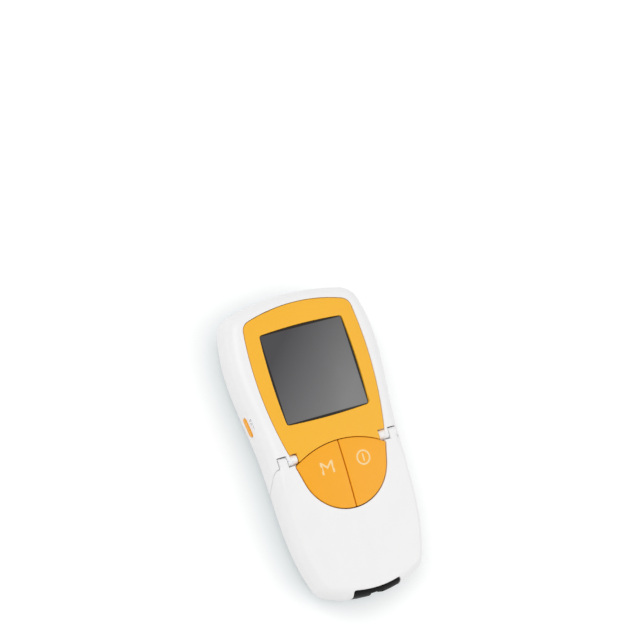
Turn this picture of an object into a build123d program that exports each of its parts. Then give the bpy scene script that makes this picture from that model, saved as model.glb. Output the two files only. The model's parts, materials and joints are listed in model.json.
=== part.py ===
"""Hand-held blood glucose meter with a hinged measuring-chamber flap.

The meter lies on its back: X across, Y towards the display end, Z out of the front face.
The origin is under the middle of its back. Every length is in millimetres.
"""

import os
from math import radians, sqrt, tan

from build123d import *

# ---------------------------------------------------------------- outer form
length = 154.0
height = 30.0
head_width = 81.0
head_drop = 28.2
waist_width = 73.3
waist_y = 2.0
tail_width = 67.7
tail_rise = 23.0
shoulder_width = 71.3
shoulder_drop = 4.7
foot_width = 57.3
foot_rise = 5.6
foot_bow = 1.9
shoulder_radius = 11.0
foot_radius = 11.0
split_z = 11.8
crown_radius = 340.0
bend_y = -12.0
bend_radius = 200.0
tail_slope = 5.2
roll_radius = 6.4
crease_x = 19.0
crease_slope = 6.5
wall = 2.0

half_length = length / 2
head_y = half_length - head_drop
tail_y = tail_rise - half_length

# ---------------------------------------------------------------- rear hull
hull_lip = 1.2
hull_tuck = 5.4
hull_curve = 1.6
hull_steps = 3

# ---------------------------------------------------------------- gaps
panel_gap = 0.25
key_gap = 0.35
flap_gap = 0.45
seam_gap = 0.3
seat_gap = 0.15
slide_gap = 0.2
skirt_gap = 0.5

# ---------------------------------------------------------------- hinge and seam
hinge_y = -4.2
hinge_z = 26.4
knuckle_radius = 2.4
knuckle_room = 0.3
hinge_margin = 1.0
lug_inner_x = 23.2
lug_length = 5.4
knuckle_length = 4.4
side_gap = 0.25
web_length = 4.6
seam_foot_drop = 12.8
pin_radius = 0.9
pin_cover = 2.0
pin_end_wall = 1.2
pin_clearance = 0.05
pin_end_gap = 0.1

# ---------------------------------------------------------------- bezel, window and keys
bezel_side_margin = 8.7
bezel_top_margin = 5.9
bezel_mid_drop = 30.6
bezel_corner_inset = 1.8
bezel_corner_drop = 4.9
bezel_corner_radius = 5.5
bezel_back_z = 26.9
ledge_width = 2.0
ledge_root = 2.5
ledge_thickness = 1.5
window_size = 46.5
window_shift = 0.7
window_bow = 0.9
window_corner_radius = 1.6
lens_depth = 0.7
lens_rim = 2.0
lens_rim_thickness = 1.2
shield_corner_x = 25.2
shield_corner_y = -8.0
shield_top_y = -0.9
shield_hip_x = 22.8
shield_hip_y = -17.4
shield_bottom_y = -34.9
shield_tip_radius = 0.8
key_thickness = 1.9
key_skirt_thickness = 1.2
key_skirt_z = 24.0
key_split = 0.5
key_press_gap = 0.7
key_stem_x = 10.8
key_stem_y = -14.8
key_stem_radius = 2.5

# ---------------------------------------------------------------- display stack
board_z = 19.5
board_thickness = 1.6
board_side_margin = 0.9
board_well_gap = 0.6
board_top_margin = 8.0
board_neck_half_width = 18.0
board_neck_reach = 9.5
panel_width = 49.0
panel_length = 51.0
panel_thickness = 2.6
holder_wall = 1.2
holder_shelf = 1.5
connector_width = 2.0
connector_inset = 0.4

# ---------------------------------------------------------------- deck and key well
deck_z = 19.5
deck_thickness = 2.0
deck_wall = 1.6
deck_lip = 0.1
well_gap = 0.3
well_wall = 1.6
well_roof_z = 26.9
mat_inset = 3.0
mat_sheet = 1.6
mat_hollow = 0.7
mat_bump_radius = 3.5
mat_bump_height = 1.9
dome_radius = 4.0
dome_top_radius = 2.0
dome_height = 0.5

# ---------------------------------------------------------------- measuring chamber
gasket_gap = 1.6
gasket_width = 31.0
gasket_length = 23.5
gasket_thickness = 2.0
optics_drop = 11.2
light_path_radius = 3.2
glass_radius = 4.4
glass_thickness = 1.0
heater_width = 14.0
heater_length = 22.0
heater_thickness = 0.6
optics_width = 22.0
optics_length = 18.0
optics_height = 6.5
optics_board_thickness = 1.2
optics_board_margin = 3.0
led_radius = 1.5
led_length = 5.0
led_rim = 0.4
led_flange = 0.8
sensor_size = 3.0
sensor_height = 1.5
lamp_drop = 3.5
reader_width = 9.0
reader_length = 5.0
reader_height = 4.0
reader_slot_length = 2.5
switch_x = 24.0
switch_rise = 7.0
switch_width = 5.0
switch_length = 8.0
switch_height = 4.0
switch_key_radius = 1.0
switch_key_rise = 0.8
switch_rib_wall = 0.8
presser_width = 12.0
presser_length = 17.0
presser_corner = 3.0
ribbon_inset = 2.5
ribbon_width = 10.0
ribbon_thickness = 0.3
ribbon_bend = 1.5
ribbon_end_margin = 1.0

# ---------------------------------------------------------------- strip guide
guide_half_width = 13.0
guide_head_gap = 3.0
guide_tongue_margin = 1.0
guide_tongue_half_width = 10.8
guide_drop = 1.0
guide_tongue_thickness = 1.5
guide_head_top_z = 20.5
guide_setback = 0.3
guide_skin = 2.3
guide_foot_gap = 0.4
guide_recess_half_width = 3.6
guide_recess_depth = 1.0
notch_inset = 3.6
notch_side_gap = 0.3
notch_radius = 1.2
strip_width = 6.4
strip_thickness = 1.2
strip_floor = 0.3
strip_reach = 8.0
strip_window_radius = 4.5

# ---------------------------------------------------------------- battery bay
cell_diameter = 10.5
cell_length = 43.5
cell_nub_radius = 2.0
cell_nub_length = 1.0
cell_pitch = 10.9
cell_gap = 0.3
cell_count = 4
bay_clearance = 0.4
bay_wall = 1.4
bay_low_y = 5.0
standoff_side_inset = 6.6
standoff_end_inset = 4.9
standoff_radius = 1.7
plate_size = 8.5
plate_thickness = 0.4
spring_length = 3.6
spring_radius = 3.0
spring_wire = 0.3
spring_turns = 3.0
cover_thickness = 1.8
cover_low_y = 1.0
cover_margin = 0.4
cover_tongue = 1.4
cover_lip = 0.85
cover_end_z = 4.6
cover_ribs = 5
cover_rib_pitch = 2.4
cover_rib_length = 1.2
cover_rib_width = 22.0
cover_rib_depth = 0.5
floor_thickness = 1.5

# ---------------------------------------------------------------- side key
set_y = 17.8
set_z = 17.0
set_length = 9.7
set_height = 3.2
set_proud = 0.6
set_flange = 1.3
set_flange_thickness = 1.2
set_switch_width = 6.0
set_switch_height = 4.1
set_switch_depth = 4.4
set_plunger_radius = 1.2
set_plunger_gap = 0.7
set_plunger_length = 0.7
board_tab_margin = 3.0

# ---------------------------------------------------------------- data window
infrared_width = 14.0
infrared_height = 4.4
infrared_z = 16.0
infrared_gap = 0.1
transceiver_width = 10.0
transceiver_length = 5.0
transceiver_height = 4.0
transceiver_lens_radius = 1.6
transceiver_lens_pitch = 5.0
transceiver_lens_rim = 0.16

# ---------------------------------------------------------------- small things inside
buzzer_radius = 9.0
buzzer_height = 3.2
buzzer_hole_radius = 2.25
buzzer_hole_depth = 1.6
buzzer_y = -16.0
sound_hole_radius = 0.8
sound_hole_circle = 4.0
sound_hole_count = 5
label_width = 40.0
label_length = 24.0
label_y = -38.0
label_thickness = 0.2
label_recess = 0.25

# ---------------------------------------------------------------- screws
head_screw_x = 29.0
head_screw_drop = 27.0
middle_screw_x = 24.0
middle_screw_y = -9.5
foot_screw_x = 16.5
foot_screw_rise = 11.5
screw_radius = 1.1
screw_length = 12.0
screw_head_radius = 2.0
screw_head_height = 1.5
screw_cross_length = 2.8
screw_cross_width = 0.55
screw_cross_depth = 0.75
screw_sink = 2.5
screw_bore_gap = 0.15
thread_gap = 0.02
hull_boss_radius = 3.4
boss_radius = 2.8

# ---------------------------------------------------------------- places worked out
bezel_width = head_width - 2 * bezel_side_margin
bezel_top_y = half_length - bezel_top_margin
bezel_mid_y = bezel_top_y - bezel_mid_drop
bezel_corner_x = bezel_width / 2 - bezel_corner_inset
bezel_corner_y = bezel_top_y - bezel_corner_drop
window_y = (bezel_top_y + shield_top_y) / 2 + window_shift
cavity_z = deck_z + board_thickness
lens_back_z = bezel_back_z - lens_rim_thickness
panel_z = lens_back_z - seat_gap - panel_thickness
lug_outer_x = lug_inner_x + lug_length
knuckle_inner_x = lug_outer_x + side_gap
knuckle_outer_x = knuckle_inner_x + knuckle_length
slot_outer_x = knuckle_outer_x + side_gap
slot_radius = knuckle_radius + knuckle_room
pin_inner_x = lug_inner_x + pin_cover
pin_outer_x = knuckle_outer_x - pin_end_wall
seam_foot_y = hinge_y - seam_foot_drop
well_top_y = shield_top_y + well_gap + well_wall
well_low_y = shield_bottom_y - well_gap - well_wall
deck_top_y = well_top_y + deck_lip
board_half_width = panel_width / 2 + board_side_margin
board_low_y = well_top_y + board_well_gap
board_top_y = half_length - board_top_margin
board_neck_low_y = shield_top_y - board_neck_reach
ribbon_y = shield_bottom_y + mat_inset + ribbon_inset
gasket_high_y = well_low_y - gasket_gap
gasket_low_y = gasket_high_y - gasket_length
optics_y = gasket_high_y - optics_drop
switch_y = optics_y + switch_rise
guide_tongue_y = gasket_high_y - guide_tongue_margin
guide_head_y = optics_y - heater_length / 2 - guide_head_gap
deck_end_y = wall + skirt_gap + deck_wall - half_length - foot_bow
reader_y = (optics_y - optics_length / 2 + deck_end_y) / 2
head_screw_y = half_length - head_screw_drop
foot_screw_y = foot_screw_rise - half_length
bay_width = cell_count * cell_pitch + bay_clearance
bay_length = 2 * plate_thickness + spring_length + cell_length + cell_nub_length + seat_gap
bay_high_y = bay_low_y + bay_length
bay_mid_y = (bay_low_y + bay_high_y) / 2
cell_z = cover_thickness + cell_gap + cell_diameter / 2
bay_top_z = cell_z + cell_diameter / 2 + bay_clearance
roof_z = bay_top_z + bay_wall
cover_half_width = bay_width / 2 + bay_wall + cover_margin
floor_z = cover_thickness + cover_margin
screw_places = [
    (side * x, y)
    for x, y in (
        (head_screw_x, head_screw_y),
        (middle_screw_x, middle_screw_y),
        (foot_screw_x, foot_screw_y),
    )
    for side in (-1, 1)
]
head_screws = screw_places[:2]
deck_screws = screw_places[2:]


# ---------------------------------------------------------------- shared outlines
def arc_radius(half_chord, sag):
    """Radius of the arc that rises by sag over a chord twice half_chord long."""
    return (half_chord**2 + sag**2) / (2 * sag)


def inset_corner(corner, beside, end_y, inset):
    """Corner where a side meets an end arc with its middle at end_y, moved in by inset."""
    along = Vector(*corner) - Vector(*beside)
    side_normal = along.rotate(Axis.Z, 90 if along.Y < 0 else -90).normalized()
    radius = arc_radius(corner[0], abs(end_y - corner[1]))
    arc_middle = Vector(0, end_y - radius if end_y > 0 else end_y + radius)
    end_normal = (Vector(*corner) - arc_middle).normalized()
    miter = (side_normal + end_normal) / (1 + side_normal.dot(end_normal))
    moved = Vector(*corner) - miter * inset
    return (moved.X, moved.Y)


def body_outline(inset):
    """Plan of the meter's body, shrunk by inset, with its four corners left sharp."""
    head = (head_width / 2, head_y)
    waist = (waist_width / 2, waist_y)
    tail = (tail_width / 2, tail_y)
    foot_end_y = -half_length - foot_bow
    shoulder = (shoulder_width / 2, half_length - shoulder_drop)
    foot = (foot_width / 2, foot_rise - half_length)
    side = [
        inset_corner(shoulder, head, half_length, inset),
        *[(x - inset, y) for x, y in (head, waist, tail)],
        inset_corner(foot, tail, foot_end_y, inset),
    ]
    other_side = [(-x, y) for x, y in side]
    with BuildSketch() as plan:
        with BuildLine():
            ThreePointArc(other_side[0], (0, half_length - inset), side[0])
            Spline(*side)
            ThreePointArc(side[-1], (0, foot_end_y + inset), other_side[-1])
            Spline(*other_side)
        make_face()
    return plan.sketch


def half_width_at(y, inset):
    """Half the width at y of the body shrunk by inset."""
    with BuildSketch() as strip:
        add(body_outline(inset))
        with Locations((0, y)):
            Rectangle(2 * head_width, seat_gap, mode=Mode.INTERSECT)
    return strip.sketch.bounding_box().max.X


def body_column(inset, low_z, high_z):
    """Upright column on the body's plan, with its four corners rounded."""
    with BuildPart() as column:
        with BuildSketch(Plane.XY.offset(low_z)):
            add(body_outline(inset))
        extrude(amount=high_z - low_z)
        fillet(column.edges().filter_by(Axis.Z).group_by(Axis.Y)[0], foot_radius - inset)
        fillet(column.edges().filter_by(Axis.Z).group_by(Axis.Y)[-1], shoulder_radius - inset)
    return column.part


def crown_block(inset):
    """Everything under the front face: flat at the display end, then bent down to the strip end."""
    top_z = height - inset
    reach = half_length + wall
    half_width = head_width / 2 + wall
    sag = crown_radius - sqrt(crown_radius**2 - half_width**2)
    foot_z = top_z - (reach + bend_y) * tan(radians(tail_slope))
    with BuildPart() as block:
        with BuildLine(Plane.YZ) as spine:
            FilletPolyline((reach, top_z), (bend_y, top_z), (-reach, foot_z), radius=bend_radius)
        with BuildSketch(Plane(origin=(0, reach, top_z), x_dir=(1, 0, 0), z_dir=(0, -1, 0))):
            with BuildLine():
                ThreePointArc((-half_width, -sag), (0, 0), (half_width, -sag))
                Polyline(
                    (half_width, -sag),
                    (half_width, -2 * height),
                    (-half_width, -2 * height),
                    (-half_width, -sag),
                )
            make_face()
        sweep(path=spine.line)
    return block.part


def crease_plane(side, inset):
    """Plane of the sloping facet beyond a crease line; side is -1 or 1."""
    fall = tan(radians(crease_slope))
    rise = tan(radians(tail_slope))
    start_z = height - inset - crease_x**2 / (2 * crown_radius)
    return Plane(origin=(side * crease_x, bend_y, start_z), z_dir=(side * fall, -rise, 1))


def upper_form(inset):
    """Solid of the white upper shell's outer shape, shrunk by inset, above the split line."""
    with BuildPart() as form:
        add(body_column(inset, split_z, height + wall))
        add(crown_block(inset), mode=Mode.INTERSECT)
        front = form.faces().filter_by(lambda f: f.normal_at().Z > 0.9)
        rim = form.edges().filter_by(
            lambda e: sum(e.is_same(other) for face in front for other in face.edges()) == 1
        )
        fillet(rim, roll_radius - inset)
        for side in (-1, 1):
            split(bisect_by=crease_plane(side, inset), keep=Keep.BOTTOM)
    return form.part


def hull_form(inset):
    """Solid of the rear hull's outer shape, shrunk by inset, from z = inset to the split line."""
    with BuildPart() as form:
        for step in range(hull_steps + 1):
            depth = (split_z - inset) * (1 - step / hull_steps)
            z = split_z - depth
            tuck = hull_lip + hull_tuck * (depth / split_z) ** hull_curve
            with BuildSketch(Plane.XY.offset(z)):
                add(body_column(tuck + inset, 0, 1).faces().sort_by(Axis.Z)[0])
        loft()
    return form.part


def shield_outline(grow=0.0):
    """Plan of the two keys together, grown all round: a low disc with flanks, cut by a top arc."""
    low_radius = arc_radius(shield_hip_x, shield_hip_y - shield_bottom_y)
    low_center = Vector(0, shield_bottom_y + low_radius)
    top_radius = arc_radius(shield_corner_x, shield_top_y - shield_corner_y)
    to_hip = (Vector(shield_hip_x, shield_hip_y) - low_center) * (1 + grow / low_radius)
    hip = low_center + to_hip
    flank_end = hip + to_hip.rotate(Axis.Z, 90)
    with BuildSketch() as plan:
        with Locations(low_center):
            Circle(low_radius + grow)
        with BuildLine():
            Polyline(
                (hip.X, hip.Y),
                (flank_end.X, flank_end.Y),
                (-flank_end.X, flank_end.Y),
                (-hip.X, hip.Y),
                close=True,
            )
        make_face()
        with Locations((0, shield_top_y - top_radius)):
            Circle(top_radius + grow, mode=Mode.INTERSECT)
        fillet(plan.vertices().group_by(Axis.Y)[-1], shield_tip_radius + max(grow, 0))
    return plan.sketch


def bezel_outline(grow=0.0):
    """Plan of the whole orange front, grown all round, down to the shield's upper corners."""
    side_radius = arc_radius(bezel_mid_y - shield_corner_y, bezel_width / 2 - shield_corner_x)
    side_x = bezel_width / 2 - side_radius
    top_radius = arc_radius(bezel_corner_x, bezel_top_y - bezel_corner_y)
    with BuildSketch() as plan:
        with Locations((0, shield_corner_y - grow + length / 2)):
            Rectangle(2 * head_width, length)
        with Locations((side_x, bezel_mid_y)):
            Circle(side_radius + grow, mode=Mode.INTERSECT)
        with Locations((-side_x, bezel_mid_y)):
            Circle(side_radius + grow, mode=Mode.INTERSECT)
        with Locations((0, bezel_top_y - top_radius)):
            Circle(top_radius + grow, mode=Mode.INTERSECT)
        fillet(plan.vertices().group_by(Axis.Y)[-1], bezel_corner_radius + grow)
    return plan.sketch


def window_outline(grow=0.0):
    """Plan of the display window with its slightly bowed sides, grown all round."""
    half = window_size / 2
    side_radius = arc_radius(half, window_bow)
    with BuildSketch() as plan:
        for turn in range(4):
            center = Vector(0, half + window_bow - side_radius).rotate(Axis.Z, 90 * turn)
            with Locations(center + Vector(0, window_y)):
                Circle(side_radius + grow, mode=Mode.INTERSECT if turn else Mode.ADD)
        fillet(plan.vertices(), window_corner_radius + grow)
    return plan.sketch


def foot_band(inset, half_width):
    """Plan of the strip end beyond the body shrunk by inset, within half_width of the middle."""
    with BuildSketch() as plan:
        with Locations((0, -half_length)):
            Rectangle(2 * half_width, length)
        add(body_outline(inset), mode=Mode.SUBTRACT)
        fillet(plan.vertices().group_by(Axis.Y)[-1], notch_radius)
    return plan.sketch


def seam_side(gap, barrel):
    """Side view of the flap's side of the seam, moved by gap; barrel rounds it about the hinge."""
    far = half_length + wall
    edge_y = hinge_y - slot_radius - gap
    foot_y = seam_foot_y - gap
    slope = (edge_y - foot_y) / (hinge_z - split_z)
    under = (foot_y - slope * split_z, 0)
    high = 2 * height
    with BuildSketch() as view:
        with BuildLine():
            if barrel:
                turn = slot_radius + gap
                RadiusArc((hinge_y, hinge_z + turn), (hinge_y - turn, hinge_z), -turn)
                Line((hinge_y, high), (hinge_y, hinge_z + turn))
                Line((-far, high), (hinge_y, high))
            else:
                Line((edge_y, high), (edge_y, hinge_z))
                Line((-far, high), (edge_y, high))
            Polyline((edge_y, hinge_z), under, (-far, 0), (-far, high))
        make_face()
    return view.sketch


def hinge_bar(inner_x, outer_x, radius):
    """Round bars about the hinge axis, one on each side."""
    with BuildPart() as bars:
        for side in (-1, 1):
            start = side * (inner_x + outer_x) / 2
            with BuildSketch(Plane.YZ.offset(start)):
                with Locations((hinge_y, hinge_z)):
                    Circle(radius)
            extrude(amount=(outer_x - inner_x) / 2, both=True)
    return bars.part


def side_blocks(inner_x, outer_x, y_range, z_range):
    """A pair of blocks, mirrored about the middle of the meter."""
    with BuildPart() as blocks:
        with BuildSketch(Plane.XY.offset(z_range[0])):
            for side in (-1, 1):
                with Locations((side * (inner_x + outer_x) / 2, sum(y_range) / 2)):
                    Rectangle(outer_x - inner_x, y_range[1] - y_range[0])
        extrude(amount=z_range[1] - z_range[0])
    return blocks.part


upper_outer = upper_form(0)
upper_inner = upper_form(wall)
hull_outer = hull_form(0)
hull_inner = hull_form(wall)
above_z = height + wall
set_flange_x = half_width_at(set_y, wall + seat_gap) - set_flange_thickness
plunger_tip_x = set_flange_x - set_plunger_gap
board_tab_x = plunger_tip_x - set_plunger_length

# ---------------------------------------------------------------- front housing
web_low_y = hinge_y - slot_radius - web_length
slot_y = (web_low_y, hinge_y + slot_radius)

with BuildPart() as housing_room:
    add(upper_inner)
    with BuildSketch(Plane.XY.offset(bezel_back_z - ledge_thickness)):
        add(bezel_outline(ledge_root))
    extrude(amount=above_z - bezel_back_z + ledge_thickness, mode=Mode.SUBTRACT)

with BuildPart() as front_housing:
    add(upper_outer)
    add(housing_room.part, mode=Mode.SUBTRACT)
    with BuildSketch(Plane.XY.offset(split_z)):
        with Locations(*head_screws):
            Circle(boss_radius)
    extrude(amount=bezel_back_z - ledge_thickness - split_z)
    with BuildSketch(Plane.XY.offset(bezel_back_z)):
        add(bezel_outline(panel_gap))
    extrude(amount=above_z - bezel_back_z, mode=Mode.SUBTRACT)
    with BuildSketch(Plane.XY.offset(bezel_back_z - ledge_thickness)):
        add(bezel_outline(-ledge_width))
        add(shield_outline(flap_gap))
    extrude(amount=above_z - bezel_back_z + ledge_thickness, mode=Mode.SUBTRACT)
    with BuildSketch(Plane.YZ):
        add(seam_side(0, barrel=True))
    extrude(amount=head_width, both=True, mode=Mode.SUBTRACT)
    slot = side_blocks(lug_outer_x, slot_outer_x, slot_y, (hinge_z - slot_radius, above_z))
    add(slot, mode=Mode.SUBTRACT)
    add(hinge_bar(lug_inner_x, lug_outer_x, knuckle_radius))
    pin_bore = hinge_bar(pin_inner_x, lug_outer_x, pin_radius + thread_gap)
    add(pin_bore, mode=Mode.SUBTRACT)
    with BuildSketch(Plane.XY.offset(split_z)):
        with Locations(*head_screws):
            Circle(screw_radius + thread_gap)
    extrude(amount=screw_length, mode=Mode.SUBTRACT)
    with BuildSketch(Plane.YZ.offset(-head_width / 2 - wall)):
        with Locations((set_y, set_z)):
            SlotOverall(set_length + 2 * slide_gap, set_height + 2 * slide_gap)
    extrude(amount=head_width / 2 - set_flange_x + wall, mode=Mode.SUBTRACT)
    with BuildSketch(Plane.XY.offset(infrared_z - infrared_height / 2)):
        with Locations((0, half_length)):
            Rectangle(infrared_width, 4 * wall)
    extrude(amount=infrared_height, mode=Mode.SUBTRACT)

# ---------------------------------------------------------------- bezel and lens
with BuildPart() as bezel:
    with BuildSketch(Plane.XY.offset(bezel_back_z)):
        add(bezel_outline())
        add(shield_outline(key_gap), mode=Mode.SUBTRACT)
        add(window_outline(), mode=Mode.SUBTRACT)
    extrude(amount=above_z - bezel_back_z)
    add(upper_outer, mode=Mode.INTERSECT)
    lug_side_y = hinge_y + knuckle_radius + panel_gap
    lug_room = side_blocks(
        lug_inner_x - panel_gap, head_width / 2, (shield_bottom_y, lug_side_y), (0, above_z)
    )
    add(lug_room, mode=Mode.SUBTRACT)
    with BuildSketch(Plane.XY.offset(bezel_back_z)):
        with Locations((0, hinge_y - slot_radius - length / 2)):
            Rectangle(2 * head_width, length)
    extrude(amount=above_z - bezel_back_z, mode=Mode.SUBTRACT)

with BuildPart() as display_lens:
    with BuildSketch(Plane.XY.offset(lens_back_z)):
        add(window_outline(-seat_gap))
    extrude(amount=above_z - lens_back_z)
    add(upper_form(lens_depth), mode=Mode.INTERSECT)
    with BuildSketch(Plane.XY.offset(lens_back_z)):
        add(window_outline(lens_rim))
    extrude(amount=lens_rim_thickness)


# ---------------------------------------------------------------- keys
mat_top_z = cavity_z + mat_sheet + mat_bump_height


def key_half(side, grow, low_z):
    """One key's half of the shield, as a column; side is -1 or 1."""
    with BuildPart() as half:
        with BuildSketch(Plane.XY.offset(low_z)):
            add(shield_outline(grow))
            with Locations((side * (head_width / 2 + key_split / 2 - grow), 0)):
                Rectangle(head_width, length, mode=Mode.INTERSECT)
        extrude(amount=above_z - low_z)
    return half.part


def key(side):
    """A key with a skirt and a stem that presses its snap dome."""
    with BuildPart() as hollow:
        add(key_half(side, -key_skirt_thickness, key_skirt_z))
        add(key_under, mode=Mode.INTERSECT)
    lug_side = hinge_y - knuckle_radius - key_gap
    lug_cut = side_blocks(
        lug_inner_x - key_gap, head_width / 2, (lug_side, shield_top_y + key_gap), (0, above_z)
    )
    with BuildPart() as one_key:
        add(key_half(side, 0, key_skirt_z))
        add(upper_outer, mode=Mode.INTERSECT)
        add(hollow.part, mode=Mode.SUBTRACT)
        add(lug_cut, mode=Mode.SUBTRACT)
        with BuildSketch(Plane.XY.offset(mat_top_z + key_press_gap)):
            with Locations((side * key_stem_x, key_stem_y)):
                Circle(key_stem_radius)
        extrude(amount=height - key_thickness / 2 - mat_top_z - key_press_gap - key_thickness / 2)
    return one_key


key_under = upper_form(key_thickness)
memory_button = key(-1)
power_button = key(1)

with BuildPart() as keypad_mat:
    with BuildSketch(Plane.XY.offset(cavity_z)):
        add(shield_outline(-mat_inset))
    extrude(amount=mat_sheet)
    with BuildSketch(Plane.XY.offset(cavity_z)):
        add(shield_outline(-mat_inset - mat_sheet))
    extrude(amount=mat_hollow, mode=Mode.SUBTRACT)
    with BuildSketch(Plane.XY.offset(cavity_z + mat_sheet)):
        with Locations((key_stem_x, key_stem_y), (-key_stem_x, key_stem_y)):
            Circle(mat_bump_radius)
    extrude(amount=mat_bump_height)

with BuildPart() as key_domes:
    with Locations((key_stem_x, key_stem_y, cavity_z), (-key_stem_x, key_stem_y, cavity_z)):
        Cone(
            dome_radius,
            dome_top_radius,
            dome_height,
            align=(Align.CENTER, Align.CENTER, Align.MIN),
        )

# ---------------------------------------------------------------- main board and display
with BuildPart() as main_board:
    with BuildSketch(Plane.XY.offset(board_z)):
        with Locations((0, (board_low_y + board_top_y) / 2)):
            Rectangle(2 * board_half_width, board_top_y - board_low_y)
        with Locations((0, (board_neck_low_y + board_low_y) / 2)):
            Rectangle(2 * board_neck_half_width, board_low_y - board_neck_low_y)
        add(shield_outline(-mat_inset))
        with Locations((-board_tab_x / 2, set_y)):
            Rectangle(board_tab_x, set_switch_width + 2 * board_tab_margin)
    extrude(amount=board_thickness)

# Place from the window's centre, width, length and height of each part under the main board.
chip_sizes = [
    (7.0, -7.5, 12.0, 12.0, 1.6),
    (-11.0, -12.5, 8.0, 5.0, 1.4),
    (-6.0, 7.5, 10.0, 6.0, 1.4),
    (8.0, 7.5, 5.0, 4.0, 1.2),
    (-15.0, -1.5, 3.2, 8.0, 2.4),
    (15.0, -19.5, 6.0, 6.0, 2.8),
    (-4.0, -20.5, 7.0, 4.0, 2.0),
]

with BuildPart() as board_chips:
    for x, chip_rise, chip_width, chip_length, chip_height in chip_sizes:
        with Locations((x, window_y + chip_rise, board_z)):
            Box(chip_width, chip_length, chip_height, align=(Align.CENTER, Align.CENTER, Align.MAX))

upper_glass = panel_thickness / 2
glass_step = connector_width + 2 * connector_inset

with BuildPart() as lcd_panel:
    with Locations((0, window_y, panel_z)):
        Box(
            panel_width,
            panel_length - 2 * glass_step,
            panel_thickness,
            align=(Align.CENTER, Align.CENTER, Align.MIN),
        )
    with Locations((0, window_y, panel_z + upper_glass)):
        Box(panel_width, panel_length, upper_glass, align=(Align.CENTER, Align.CENTER, Align.MIN))

connector_y = panel_length / 2 - glass_step / 2

with BuildPart() as lcd_connectors:
    with Locations((0, window_y + connector_y, cavity_z), (0, window_y - connector_y, cavity_z)):
        Box(
            panel_width - 2 * holder_shelf,
            connector_width,
            panel_z + upper_glass - cavity_z,
            align=(Align.CENTER, Align.CENTER, Align.MIN),
        )

holder_inner = (panel_width + 2 * slide_gap, panel_length + 2 * slide_gap)

with BuildPart() as lcd_holder:
    with BuildSketch(Plane.XY.offset(cavity_z)):
        with Locations((0, window_y)):
            Rectangle(holder_inner[0] + 2 * holder_wall, holder_inner[1] + 2 * holder_wall)
            Rectangle(*holder_inner, mode=Mode.SUBTRACT)
    extrude(amount=bezel_back_z - ledge_thickness - slide_gap - cavity_z)
    shelf_rows = (window_y - panel_length / 4, window_y + panel_length / 4)
    shelves = side_blocks(
        holder_inner[0] / 2 - holder_shelf, holder_inner[0] / 2, shelf_rows, (cavity_z, panel_z)
    )
    add(shelves)

# ---------------------------------------------------------------- chamber deck with the key well
hinge_room = side_blocks(
    lug_inner_x - hinge_margin,
    slot_outer_x + hinge_margin,
    (hinge_y - slot_radius - hinge_margin, hinge_y + slot_radius + hinge_margin),
    (hinge_z - slot_radius - hinge_margin, above_z),
)
bank_x = (guide_tongue_half_width + slide_gap, gasket_width / 2)
bank_y = (gasket_low_y, gasket_high_y)
tongue_z = deck_z + slide_gap
tongue_top_z = tongue_z + guide_tongue_thickness
glass_z = deck_z - heater_thickness - glass_thickness + slide_gap
under_deck_z = deck_z - deck_thickness

deck_form = upper_form(wall + skirt_gap)

with BuildPart() as key_well:
    with BuildSketch(Plane.XY.offset(deck_z)):
        add(shield_outline(well_gap + well_wall))
        add(shield_outline(well_gap), mode=Mode.SUBTRACT)
    extrude(amount=well_roof_z - deck_z)
    add(deck_form, mode=Mode.INTERSECT)
    add(hinge_room, mode=Mode.SUBTRACT)
    with BuildSketch(Plane.XY.offset(deck_z)):
        with Locations((0, (board_neck_low_y + board_low_y) / 2)):
            Rectangle(2 * (board_neck_half_width + slide_gap), board_low_y - board_neck_low_y)
    extrude(amount=board_thickness + slide_gap, mode=Mode.SUBTRACT)

with BuildPart() as chamber_deck:
    add(body_column(wall + skirt_gap, split_z, deck_z))
    add(deck_form, mode=Mode.INTERSECT)
    add(body_column(wall + skirt_gap + deck_wall, split_z, under_deck_z), mode=Mode.SUBTRACT)
    with BuildSketch(Plane.XY.offset(split_z)):
        with Locations((0, deck_top_y + length / 2)):
            Rectangle(2 * head_width, length)
    extrude(amount=height, mode=Mode.SUBTRACT)
    add(key_well.part)
    add(side_blocks(*bank_x, bank_y, (deck_z, tongue_top_z)))
    with BuildSketch(Plane.XY.offset(split_z)):
        with Locations(*deck_screws):
            Circle(boss_radius)
    extrude(amount=under_deck_z - split_z)
    with BuildSketch(Plane.XY.offset(split_z)):
        with Locations(*deck_screws):
            Circle(screw_radius + thread_gap)
    extrude(amount=under_deck_z - split_z, mode=Mode.SUBTRACT)
    with BuildSketch(Plane.XY.offset(deck_z - guide_drop)):
        with Locations((0, guide_head_y + slide_gap - length / 2)):
            Rectangle(2 * (guide_half_width + slide_gap), length)
    extrude(amount=height, mode=Mode.SUBTRACT)
    with BuildSketch(Plane.XY.offset(split_z)):
        add(foot_band(guide_setback + guide_skin + seam_gap, guide_half_width + slide_gap))
    extrude(amount=height, mode=Mode.SUBTRACT)
    with BuildSketch(Plane.XY.offset(deck_z - heater_thickness)):
        with Locations((0, optics_y)):
            Rectangle(heater_width + 2 * slide_gap, heater_length + 2 * slide_gap)
    extrude(amount=heater_thickness, mode=Mode.SUBTRACT)
    with BuildSketch(Plane.XY.offset(glass_z)):
        with Locations((0, optics_y)):
            Circle(glass_radius + thread_gap)
    extrude(amount=glass_thickness, mode=Mode.SUBTRACT)
    with BuildSketch(Plane.XY.offset(under_deck_z)):
        with Locations((0, optics_y)):
            Circle(light_path_radius)
        with Locations((switch_x, switch_y)):
            Circle(switch_key_radius + slide_gap)
        with Locations((0, reader_y)):
            Rectangle(strip_width, reader_slot_length)
        with Locations((0, ribbon_y)):
            Rectangle(ribbon_width + 4 * slide_gap, ribbon_thickness + 4 * slide_gap)
    extrude(amount=deck_thickness, mode=Mode.SUBTRACT)

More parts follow.
